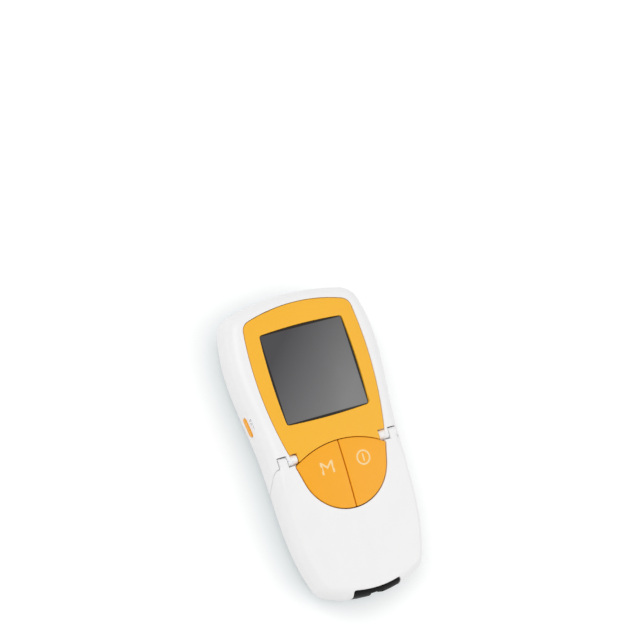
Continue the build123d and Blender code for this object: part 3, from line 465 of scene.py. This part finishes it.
@dataclass(frozen=True)
class SoftRubber(Finish):
    """Silicone or foam rubber with a dusty, matt skin."""

    colour: Colour
    roughness: float = 0.75
    uneven: float = 0.08
    pore: float = 0.4 * MM
    pore_depth: float = 0.02 * MM
    octaves: float = 4.0
    cloud: float = 6 * MM
    spread: float = 0.08
    sheen: float = 0.15

    def wire(self, bench: NodeBench) -> None:
        """Wires the surface.

        Args:
            bench: The new material's bench.
        """
        pores = bench.noise(self.pore, self.octaves)
        bench.tint(bench.noise(self.cloud), self.colour, self.spread)
        bench.roughen(pores, self.roughness - self.uneven, self.roughness + self.uneven)
        bench.bump(pores, self.pore_depth)
        bench.give("Sheen Weight", self.sheen)


@dataclass(frozen=True)
class CircuitBoard(Finish):
    """Solder mask over copper tracks that run along the board."""

    name: str = "solder_mask"
    mask: Colour = srgb(24, 92, 58)
    track: Colour = srgb(44, 122, 78)
    cell: float = 4.4 * MM
    stretch: float = 3
    depth_scale: float = 1e-3
    track_edge: float = 0.04
    mask_edge: float = 0.07
    track_height: float = 0.02 * MM
    roughness: float = 0.32

    def wire(self, bench: NodeBench) -> None:
        """Wires the surface.

        Args:
            bench: The new material's bench.
        """
        scale = (1 / self.cell, 1 / (self.stretch * self.cell), self.depth_scale)
        cells = bench.node(
            "ShaderNodeTexVoronoi",
            {"Vector": bench.place(scale), "Scale": 1.0},
            distance="MANHATTAN",
            feature="DISTANCE_TO_EDGE",
        )
        bare = bench.ramp(cells.outputs["Distance"], self.track_edge, self.mask_edge)
        bench.give("Base Color", bench.blend(bare, self.track, self.mask))
        bench.bump(bare, -self.track_height)
        bench.give("Roughness", self.roughness)


@dataclass(frozen=True)
class CellJacket(Finish):
    """Printed film round the cells, with bare steel showing at both ends."""

    name: str = "cell_jacket"
    film: Colour = srgb(54, 84, 120)
    band: Colour = srgb(206, 170, 92)
    steel: Colour = srgb(186, 188, 190)
    low_y: float = 6.4 * MM
    high_y: float = 52.6 * MM
    band_width: float = 9 * MM
    roughness: float = 0.28

    def wire(self, bench: NodeBench) -> None:
        """Wires the surface.

        Args:
            bench: The new material's bench.
        """
        _, along = bench.split(bench.coordinates.outputs["Object"])
        past_low, past_band, past_high = (
            bench.work_out(Operation.PAST, along, y)
            for y in (self.low_y, self.high_y - self.band_width, self.high_y)
        )
        printed = bench.blend(past_band, self.film, self.band)
        capped = bench.blend(past_low, self.steel, printed)
        bench.give("Base Color", bench.blend(past_high, capped, self.steel))
        covered = bench.work_out(Operation.DIFFERENCE, past_low, past_high, clamp=True)
        bench.give("Metallic", bench.work_out(Operation.DIFFERENCE, 1.0, covered))
        bench.give("Roughness", self.roughness)


@dataclass(frozen=True)
class LegendInk(Finish):
    """Flat printed ink, slightly worn."""

    colour: Colour
    wear: float = 0.3 * MM
    octaves: float = 4.0
    spread: float = 0.04
    roughness: float = 0.5

    def wire(self, bench: NodeBench) -> None:
        """Wires the surface on the new material's bench."""
        bench.tint(bench.noise(self.wear, self.octaves), self.colour, self.spread)
        bench.give("Roughness", self.roughness)


WHITE_SHELL = MouldedPlastic("white_shell", srgb(247, 246, 246), roughness=0.36)
ORANGE_PANEL = MouldedPlastic("orange_panel", srgb(253, 187, 42), roughness=0.34)
ORANGE_KEY = MouldedPlastic("orange_key", srgb(255, 174, 18), roughness=0.32)
HULL_PLASTIC = MouldedPlastic(
    "blue_grey_hull", srgb(110, 138, 144), roughness=0.45, grain_depth=0.01 * MM
)
BLACK_PLASTIC = MouldedPlastic(
    "black_plastic", srgb(14, 13, 12), roughness=0.5, spread=0.1, shine=0.15
)
DECK_PLASTIC = MouldedPlastic("deck_plastic", srgb(60, 63, 66), roughness=0.5, spread=0.08)
HOLDER_PLASTIC = MouldedPlastic("holder_plastic", srgb(224, 224, 220), roughness=0.5)
DARK_WINDOW = MouldedPlastic(
    "dark_window", srgb(44, 12, 16), roughness=0.12, grain_depth=0.0, coat=0.5
)
LABEL_FILM = MouldedPlastic("label_film", srgb(212, 214, 214), roughness=0.3, spread=0.03)
AMBER_FILM = MouldedPlastic("amber_film", srgb(176, 112, 48), roughness=0.25, spread=0.1)
CHIP_RESIN = MouldedPlastic("chip_resin", srgb(34, 34, 36), roughness=0.55, spread=0.12)
DISPLAY_GLASS = MouldedPlastic(
    "display_glass", srgb(122, 126, 118), roughness=0.15, grain_depth=0.0
)
SMOKED_WINDOW = SmokedWindow()
LAMP_RESIN = ClearGlass("lamp_resin", srgb(226, 232, 228), roughness=0.12, transmission=0.8)
CLEAR_GLASS = ClearGlass("clear_glass", srgb(226, 232, 234))
PLAIN_STEEL = Metal("plain_steel", srgb(186, 187, 190), roughness=0.32)
CONTACT_METAL = Metal("contact_metal", srgb(208, 208, 204), roughness=0.22)
HEATER_METAL = Metal("heater_metal", srgb(176, 178, 182), roughness=0.36)
SOUNDER_METAL = Metal("sounder_metal", srgb(196, 168, 96), roughness=0.34)
GREY_SILICONE = SoftRubber("grey_silicone", srgb(150, 150, 148))
DARK_FOAM = SoftRubber("dark_foam", srgb(40, 40, 42))
SOLDER_MASK = CircuitBoard()
CELL_JACKET = CellJacket()
PALE_INK = LegendInk("pale_ink", srgb(255, 220, 158))
GREY_INK = LegendInk("grey_ink", srgb(150, 152, 156))


# ---------------------------------------------------------------- work on one object
def deselect_all() -> None:
    """Leaves nothing selected."""
    bpy.ops.object.select_all(action="DESELECT")


def select_only(piece: bpy.types.Object) -> None:
    """Leaves one object selected and active.

    Args:
        piece: The object.
    """
    deselect_all()
    piece.select_set(True)
    bpy.context.view_layer.objects.active = piece


def apply_modifier(piece: bpy.types.Object, kind: str, **settings: object) -> None:
    """Adds a modifier with its settings and applies it.

    Args:
        piece: The object.
        kind: Blender's name for the modifier.
        settings: The modifier's properties.
    """
    select_only(piece)
    modifier = piece.modifiers.new(kind.lower(), kind)
    for setting, amount in settings.items():
        setattr(modifier, setting, amount)
    bpy.ops.object.modifier_apply(modifier=modifier.name)


def dress(piece: bpy.types.Object, material: bpy.types.Material) -> None:
    """Gives an object one material all over.

    Args:
        piece: The object.
        material: The material.
    """
    if not piece.data.materials:
        piece.data.materials.append(material)
    for place in piece.material_slots:
        place.material = material


def settle(piece: bpy.types.Object) -> None:
    """Puts an object's place into its mesh, so that the object sits at the origin."""
    select_only(piece)
    bpy.ops.object.transform_apply(location=True, rotation=True, scale=True)


def flat_text(text: str, fit: Size) -> bpy.types.Object:
    """Makes flat lettering as a mesh, centred on its own origin.

    Args:
        text: The letters.
        fit: Width and height that the letters are stretched to.

    Returns:
        The lettering.
    """
    deselect_all()
    bpy.ops.object.text_add()
    word = bpy.context.active_object
    word.data.body = text
    word.data.resolution_u = LETTER_STEPS
    bpy.ops.object.convert(target="MESH")
    word = bpy.context.active_object
    bpy.ops.object.origin_set(type="ORIGIN_GEOMETRY", center="BOUNDS")
    width, height = fit
    word.scale = (width / word.dimensions.x, height / word.dimensions.y, 1)
    return word


def flat_disc(place: Point, radius: float, sides: int) -> bpy.types.Object:
    """Makes a flat round face.

    Args:
        place: Its centre.
        radius: Its radius.
        sides: How many sides stand for the circle.

    Returns:
        The disc.
    """
    deselect_all()
    bpy.ops.mesh.primitive_circle_add(
        vertices=sides, radius=radius, fill_type="NGON", location=place
    )
    return bpy.context.active_object


@dataclass
class Workshop:
    """The loaded frame, its materials and the two ways a visible piece is made from it."""

    frame: dict
    made: dict[str, bpy.types.Material] = field(default_factory=dict)

    def finish(self, recipe: Finish) -> bpy.types.Material:
        """Makes a finish's material once, and gives the same one from then on.

        Args:
            recipe: The finish.

        Returns:
            Its material.
        """
        if recipe.name not in self.made:
            self.made[recipe.name] = recipe.material()
        return self.made[recipe.name]

    def node(self, name: str) -> bpy.types.Object:
        """A CAD node's object."""
        return self.frame["nodes"][name]

    def body(self, name: str) -> str:
        """The body that a CAD node belongs to."""
        return self.node(name)["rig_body"]

    def keep(self, name: str, recipe: Finish) -> None:
        """Leaves a CAD node as it is and gives it a finish."""
        dress(self.node(name), self.finish(recipe))
        log.info("%s keeps its solid, in %s", name, recipe.name)

    def refine(
        self,
        name: str,
        piece_name: str,
        recipe: Finish,
        edge: float = 0.0,
        flat: float = FLAT_ANGLE,
    ) -> bpy.types.Object:
        """Makes a smooth copy of a CAD node, with its sharp edges broken, that stands for it.

        Args:
            name: The CAD node.
            piece_name: The new piece's name.
            recipe: Its finish.
            edge: Width of the broken edges in metres, kept also beside narrow faces.
            flat: Largest angle between faces that are merged into one.

        Returns:
            The new piece.
        """
        piece = self.copy_of(name, piece_name)
        self.merge(piece, flat)
        if edge:
            apply_modifier(
                piece,
                "BEVEL",
                width=edge,
                segments=BREAK_SEGMENTS,
                limit_method="ANGLE",
                angle_limit=BREAK_ANGLE,
                use_clamp_overlap=False,
                harden_normals=False,
            )
        self.keep_inside(piece, name)
        select_only(piece)
        bpy.ops.object.shade_smooth_by_angle(angle=SMOOTH_ANGLE)
        self.mark_creases(piece)
        apply_modifier(piece, "WEIGHTED_NORMAL", keep_sharp=True, weight=NORMAL_WEIGHT)
        dress(piece, self.finish(recipe))
        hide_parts(name)
        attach(piece, self.body(name))
        log.info("%s stands for %s, in %s", piece_name, name, recipe.name)
        return piece

    def copy_of(self, name: str, piece_name: str) -> bpy.types.Object:
        """Copies a CAD node into a free object with its own mesh.

        Args:
            name: The CAD node.
            piece_name: The copy's name.

        Returns:
            The copy.
        """
        source = self.node(name)
        piece = source.copy()
        piece.data = source.data.copy()
        piece.name = piece_name
        piece.parent = None
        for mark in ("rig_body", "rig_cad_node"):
            del piece[mark]
        bpy.context.scene.collection.objects.link(piece)
        return piece

    def merge(self, piece: bpy.types.Object, flat: float) -> None:
        """Joins a CAD mesh's loose triangles into whole faces.

        Args:
            piece: The copy of a CAD node.
            flat: Largest angle between faces that are merged into one.
        """
        select_only(piece)
        if piece.data.has_custom_normals:
            bpy.ops.mesh.customdata_custom_splitnormals_clear()
        bpy.ops.object.mode_set(mode="EDIT")
        bpy.ops.mesh.select_all(action="SELECT")
        bpy.ops.mesh.remove_doubles(threshold=WELD_DISTANCE)
        bpy.ops.mesh.dissolve_limited(angle_limit=flat)
        bpy.ops.object.mode_set(mode="OBJECT")

    def keep_inside(self, piece: bpy.types.Object, name: str) -> None:
        """Moves points that a broken edge pushed out of the CAD node's box back onto it.

        Args:
            piece: The copy of a CAD node.
            name: The CAD node.
        """
        low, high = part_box(name)
        for corner in piece.data.vertices:
            sides = zip(corner.co, low, high)
            corner.co = [min(max(at, least), most) for at, least, most in sides]

    def mark_creases(self, piece: bpy.types.Object) -> None:
        """Keeps the flap's faint folds crisp, which smoothing would hide.

        Args:
            piece: A piece that may hold one of the folds.
        """
        mesh = piece.data
        folds = {edge.key: [] for edge in mesh.edges if self.on_crease(mesh, edge)}
        for face in mesh.polygons:
            for key in face.edge_keys:
                if key in folds:
                    folds[key].append(face.normal)
        for edge in mesh.edges:
            sides = folds.get(edge.key, [])
            if len(sides) == 2 and sides[0].angle(sides[1], 0.0) > CREASE_ANGLE:
                edge.use_edge_sharp = True

    def on_crease(self, mesh: bpy.types.Mesh, edge: bpy.types.MeshEdge) -> bool:
        """Whether an edge runs lengthwise where one of the flap's two folds may lie.

        Args:
            mesh: The edge's mesh.
            edge: The edge.

        Returns:
            True where it does.
        """
        first, second = (mesh.vertices[corner].co for corner in edge.vertices)
        lengthwise = abs(first.x - second.x) < abs(first.y - second.y) / CREASE_SLOPE
        inside = all(CREASE_INNER < abs(end.x) < CREASE_OUTER for end in (first, second))
        on_flap = all(end.y < CREASE_END and end.z > CREASE_LOW for end in (first, second))
        return lengthwise and inside and on_flap


# ---------------------------------------------------------------- sub-assemblies
@dataclass
class Legend:
    """A flat printed mark that follows the surface it is printed on."""

    name: str
    body: str
    slot: str
    lift: float = 0.02 * MM
    thickness: float = 0.03 * MM

    def lay_on(
        self, mark: bpy.types.Object, carrier: bpy.types.Object, ink: bpy.types.Material
    ) -> None:
        """Presses a flat mesh back onto its carrier and gives it ink and a body.

        Args:
            mark: The flat mesh, in front of the carrier, with its own Z away from it.
            carrier: The piece it is printed on.
            ink: The ink's material.
        """
        mark.name = self.name
        select_only(mark)
        bpy.ops.object.transform_apply(location=False, rotation=False, scale=True)
        apply_modifier(
            mark,
            "SHRINKWRAP",
            target=carrier,
            wrap_method="PROJECT",
            use_project_z=True,
            use_negative_direction=True,
            use_positive_direction=True,
            wrap_mode="ABOVE_SURFACE",
            offset=self.lift,
        )
        apply_modifier(mark, "SOLIDIFY", thickness=self.thickness, offset=-1.0)
        settle(mark)
        dress(mark, ink)
        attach(mark, self.body)
        log.info("%s is printed on %s", self.name, carrier.name)


@dataclass
class FrontShell:
    """White upper shell, orange bezel, display window and data window."""

    shop: Workshop
    shell_edge: float = 0.25 * MM
    bezel_edge: float = 0.35 * MM
    window_edge: float = 0.2 * MM
    set_fit: Size = (5.4 * MM, 1.7 * MM)
    set_place: Point = (-43 * MM, 18.4 * MM, 26 * MM)
    set_right: Point = (0, -1, 0)
    set_out: Point = (-0.8, 0, 0.6)

    def build(self) -> None:
        """Builds the pieces."""
        shell = self.shop.refine("front_housing", "front_shell", WHITE_SHELL, self.shell_edge)
        ink = self.shop.finish(GREY_INK)
        body = self.shop.body("front_housing")
        Legend("set_legend", body, "white_shell").lay_on(self.set_word(), shell, ink)
        self.shop.refine("bezel", "display_bezel", ORANGE_PANEL, self.bezel_edge)
        self.shop.refine("display_lens", "display_window", SMOKED_WINDOW, self.window_edge)
        self.shop.refine("infrared_window", "data_window", DARK_WINDOW, self.window_edge)

    def set_word(self) -> bpy.types.Object:
        """The flat legend of the side key, in front of the shell's side.

        Returns:
            The lettering.
        """
        word = flat_text("SET", self.set_fit)
        right, out = Vector(self.set_right), Vector(self.set_out)
        word.rotation_euler = Matrix((right, out.cross(right), out)).transposed().to_euler()
        word.location = self.set_place
        return word


@dataclass
class Keypad:
    """The two shield keys with their legends, the side key, the mat and the snap domes."""

    shop: Workshop
    key_edge: float = 0.4 * MM
    memory_place: Point = (-9.7 * MM, -12.6 * MM, 34 * MM)
    memory_fit: Size = (7.0 * MM, 6.2 * MM)
    power_place: Point = (10.7 * MM, -12.6 * MM, 34 * MM)
    ring_radius: float = 3.85 * MM
    stroke: float = 0.85 * MM
    bar_length: float = 4.0 * MM

    def build(self) -> None:
        """Builds the pieces."""
        memory, power, _ = (
            self.shop.refine(
                f"{key}_button", f"{key}_key", ORANGE_KEY, self.key_edge, flat=KEY_FLAT_ANGLE
            )
            for key in ("memory", "power", "set")
        )
        ink = self.shop.finish(PALE_INK)
        body = self.shop.body("memory_button")
        letter = flat_text("M", self.memory_fit)
        letter.location = self.memory_place
        Legend("memory_legend", body, "orange_key").lay_on(letter, memory, ink)
        body = self.shop.body("power_button")
        Legend("power_ring", body, "orange_key").lay_on(self.ring(), power, ink)
        Legend("power_bar", body, "orange_key").lay_on(self.bar(), power, ink)
        self.shop.keep("keypad_mat", GREY_SILICONE)
        self.shop.keep("key_domes", PLAIN_STEEL)
        self.shop.keep("set_switch", BLACK_PLASTIC)

    def ring(self) -> bpy.types.Object:
        """A flat ring over the power key's middle.

        Returns:
            The ring.
        """
        ring = flat_disc(self.power_place, self.ring_radius, RING_SIDES)
        bpy.ops.object.mode_set(mode="EDIT")
        bpy.ops.mesh.select_all(action="SELECT")
        bpy.ops.mesh.inset(thickness=self.stroke)
        bpy.ops.mesh.delete(type="FACE")
        bpy.ops.object.mode_set(mode="OBJECT")
        return ring

    def bar(self) -> bpy.types.Object:
        """A flat upright bar with round ends in the middle of the ring.

        Returns:
            The bar.
        """
        bar = flat_disc(self.power_place, self.stroke / 2, BAR_SIDES)
        reach = (self.bar_length - self.stroke) / 2
        for corner in bar.data.vertices:
            if abs(corner.co.y) > ON_MIDLINE:
                corner.co.y += math.copysign(reach, corner.co.y)
        return bar


@dataclass
class MeasuringFlap:
    """The flap with its seals, and the pins it turns on."""

    shop: Workshop
    edge: float = 0.3 * MM

    def build(self) -> None:
        """Builds the pieces."""
        self.shop.refine("flap", "chamber_flap", WHITE_SHELL, self.edge)
        self.shop.refine("flap_gasket", "light_seal", DARK_FOAM, self.edge)
        self.shop.refine("strip_presser", "strip_pad", DARK_FOAM, self.edge)
        self.shop.refine("hinge_pins", "flap_pins", PLAIN_STEEL)


@dataclass
class MeasuringChamber:
    """The deck under the flap, the strip guide and the optics."""

    shop: Workshop
    edge: float = 0.25 * MM

    def build(self) -> None:
        """Builds the pieces."""
        self.shop.refine("strip_guide", "test_strip_guide", BLACK_PLASTIC, self.edge)
        self.shop.refine("chamber_deck", "measuring_deck", DECK_PLASTIC, self.edge)
        self.shop.keep("heater_plate", HEATER_METAL)
        self.shop.keep("measuring_window", CLEAR_GLASS)
        self.shop.keep("optics_block", BLACK_PLASTIC)
        self.shop.keep("light_source", LAMP_RESIN)
        self.shop.keep("light_sensor", CHIP_RESIN)
        self.shop.keep("optics_board", SOLDER_MASK)
        self.shop.keep("code_reader", BLACK_PLASTIC)
        self.shop.keep("flap_switch", BLACK_PLASTIC)
        self.shop.keep("ribbon_cable", AMBER_FILM)


@dataclass
class Electronics:
    """The main board, the display stack, the data link and the sounder."""

    shop: Workshop

    def build(self) -> None:
        """Dresses the pieces."""
        self.shop.keep("main_board", SOLDER_MASK)
        self.shop.keep("board_chips", CHIP_RESIN)
        self.shop.keep("lcd_panel", DISPLAY_GLASS)
        self.shop.keep("lcd_holder", HOLDER_PLASTIC)
        self.shop.keep("lcd_connectors", GREY_SILICONE)
        self.shop.keep("infrared_transceiver", CHIP_RESIN)
        self.shop.keep("buzzer", SOUNDER_METAL)


@dataclass
class RearHull:
    """Blue-grey hull with the sliding cover, the cells, the label and the screws."""

    shop: Workshop
    edge: float = 0.4 * MM
    fine_edge: float = 0.1 * MM

    def build(self) -> None:
        """Builds the pieces."""
        self.shop.refine("rear_housing", "rear_hull", HULL_PLASTIC, self.edge)
        self.shop.refine("battery_cover", "sliding_cover", HULL_PLASTIC, self.edge)
        self.shop.refine("battery_cells", "cells", CELL_JACKET, self.edge)
        self.shop.refine("housing_screws", "screws", PLAIN_STEEL, self.fine_edge)
        self.shop.keep("rating_plate", LABEL_FILM)
        self.shop.refine("battery_springs", "cell_springs", CONTACT_METAL)
        self.shop.keep("battery_plates", CONTACT_METAL)


# ---------------------------------------------------------------- studio
@dataclass(frozen=True)
class Lamp:
    """A large square lamp aimed at the meter's middle, in metres and watts."""

    name: str
    place: Point
    size: float
    power: float

    def light(self) -> None:
        """Sets the lamp up in the scene."""
        data = bpy.data.lights.new(self.name, "AREA")
        data.shape = "SQUARE"
        data.size = self.size
        data.energy = self.power
        lamp = bpy.data.objects.new(self.name, data)
        lamp.location = self.place
        lamp.rotation_euler = (-Vector(self.place)).to_track_quat("-Z", "Y").to_euler()
        bpy.context.scene.collection.objects.link(lamp)


@dataclass
class Studio:
    """White floor, soft lights and the camera, whose turns are in degrees."""

    floor_size: float = 6.0
    floor_z: float = 0.0
    floor_colour: Colour = (0.95, 0.95, 0.95)
    floor_roughness: float = 0.9
    floor_shine: float = 0.1
    floor_glow: float = 0.2
    surround_strength: float = 0.66
    lamps: tuple[Lamp, ...] = (
        Lamp("key_light", (-0.9, 0.5, 1.5), size=1.2, power=9.0),
        Lamp("fill_light", (1.1, -0.6, 1.3), size=1.4, power=5.0),
    )
    yaw: float = 25.732
    pitch: float = 6.739
    roll: float = -17.714
    across: float = -2.959 * MM
    along: float = 65.297 * MM
    distance: float = 1113.293 * MM
    lens: float = 123.75
    sensor: float = 36.0
    nearest: float = 0.05
    furthest: float = 20

    def build(self) -> None:
        """Makes the floor, the lights and the camera."""
        self.floor()
        self.world()
        for lamp in self.lamps:
            lamp.light()
        self.camera()

    def floor(self) -> None:
        """A large matt white floor that looks plain white, but for shadows, where it is seen."""
        deselect_all()
        bpy.ops.mesh.primitive_plane_add(size=self.floor_size, location=(0, 0, self.floor_z))
        floor = bpy.context.active_object
        floor.name = "floor"
        bench = NodeBench("floor_paper")
        bench.give("Base Color", self.floor_colour)
        bench.give("Roughness", self.floor_roughness)
        bench.give("Specular IOR Level", self.floor_shine)
        bench.give("Emission Color", WHITE)
        rays = bench.node("ShaderNodeLightPath", {}).outputs
        seen = rays["Is Camera Ray"]
        for kind in ("Is Glossy Ray", "Is Transmission Ray"):
            seen = bench.work_out(Operation.LARGER, seen, rays[kind])
        glow = bench.work_out(Operation.PRODUCT, seen, self.floor_glow)
        bench.give("Emission Strength", glow)
        dress(floor, bench.material)

    def world(self) -> None:
        """An even white surround."""
        world = bpy.data.worlds.new("surround")
        world.use_nodes = True
        bpy.context.scene.world = world
        surround = world.node_tree.nodes["Background"]
        surround.inputs["Color"].default_value = (*WHITE, 1)
        surround.inputs["Strength"].default_value = self.surround_strength

    def camera(self) -> None:
        """The camera, on a long lens, turned and tilted over the front face."""
        yaw = math.radians(self.yaw)
        pitch = math.radians(self.pitch)
        roll = math.radians(self.roll)
        back = Vector(
            (
                -math.sin(yaw) * math.cos(pitch),
                -math.sin(pitch),
                math.cos(yaw) * math.cos(pitch),
            )
        )
        level = (-back).cross(Vector((0, 1, 0))).normalized()
        upright = level.cross(-back)
        right = math.cos(roll) * level + math.sin(roll) * upright
        up = math.cos(roll) * upright - math.sin(roll) * level
        data = bpy.data.cameras.new("camera")
        data.lens = self.lens
        data.sensor_width = self.sensor
        data.clip_start = self.nearest
        data.clip_end = self.furthest
        camera = bpy.data.objects.new("camera", data)
        turn = Matrix((right, up, back)).transposed()
        place = back * self.distance - right * self.across + up * self.along
        camera.matrix_world = Matrix.Translation(place) @ turn.to_4x4()
        bpy.context.scene.collection.objects.link(camera)
        bpy.context.scene.camera = camera


def main() -> None:
    """Builds the meter's looks round the frame."""
    logging.basicConfig(level=logging.INFO, format="%(name)s: %(message)s")
    shop = Workshop(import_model())
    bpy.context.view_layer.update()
    bpy.context.scene.view_settings.view_transform = "Standard"
    Studio().build()
    for assembly in (FrontShell, Keypad, MeasuringFlap, MeasuringChamber, Electronics, RearHull):
        assembly(shop).build()


if __name__ == "__main__":
    main()
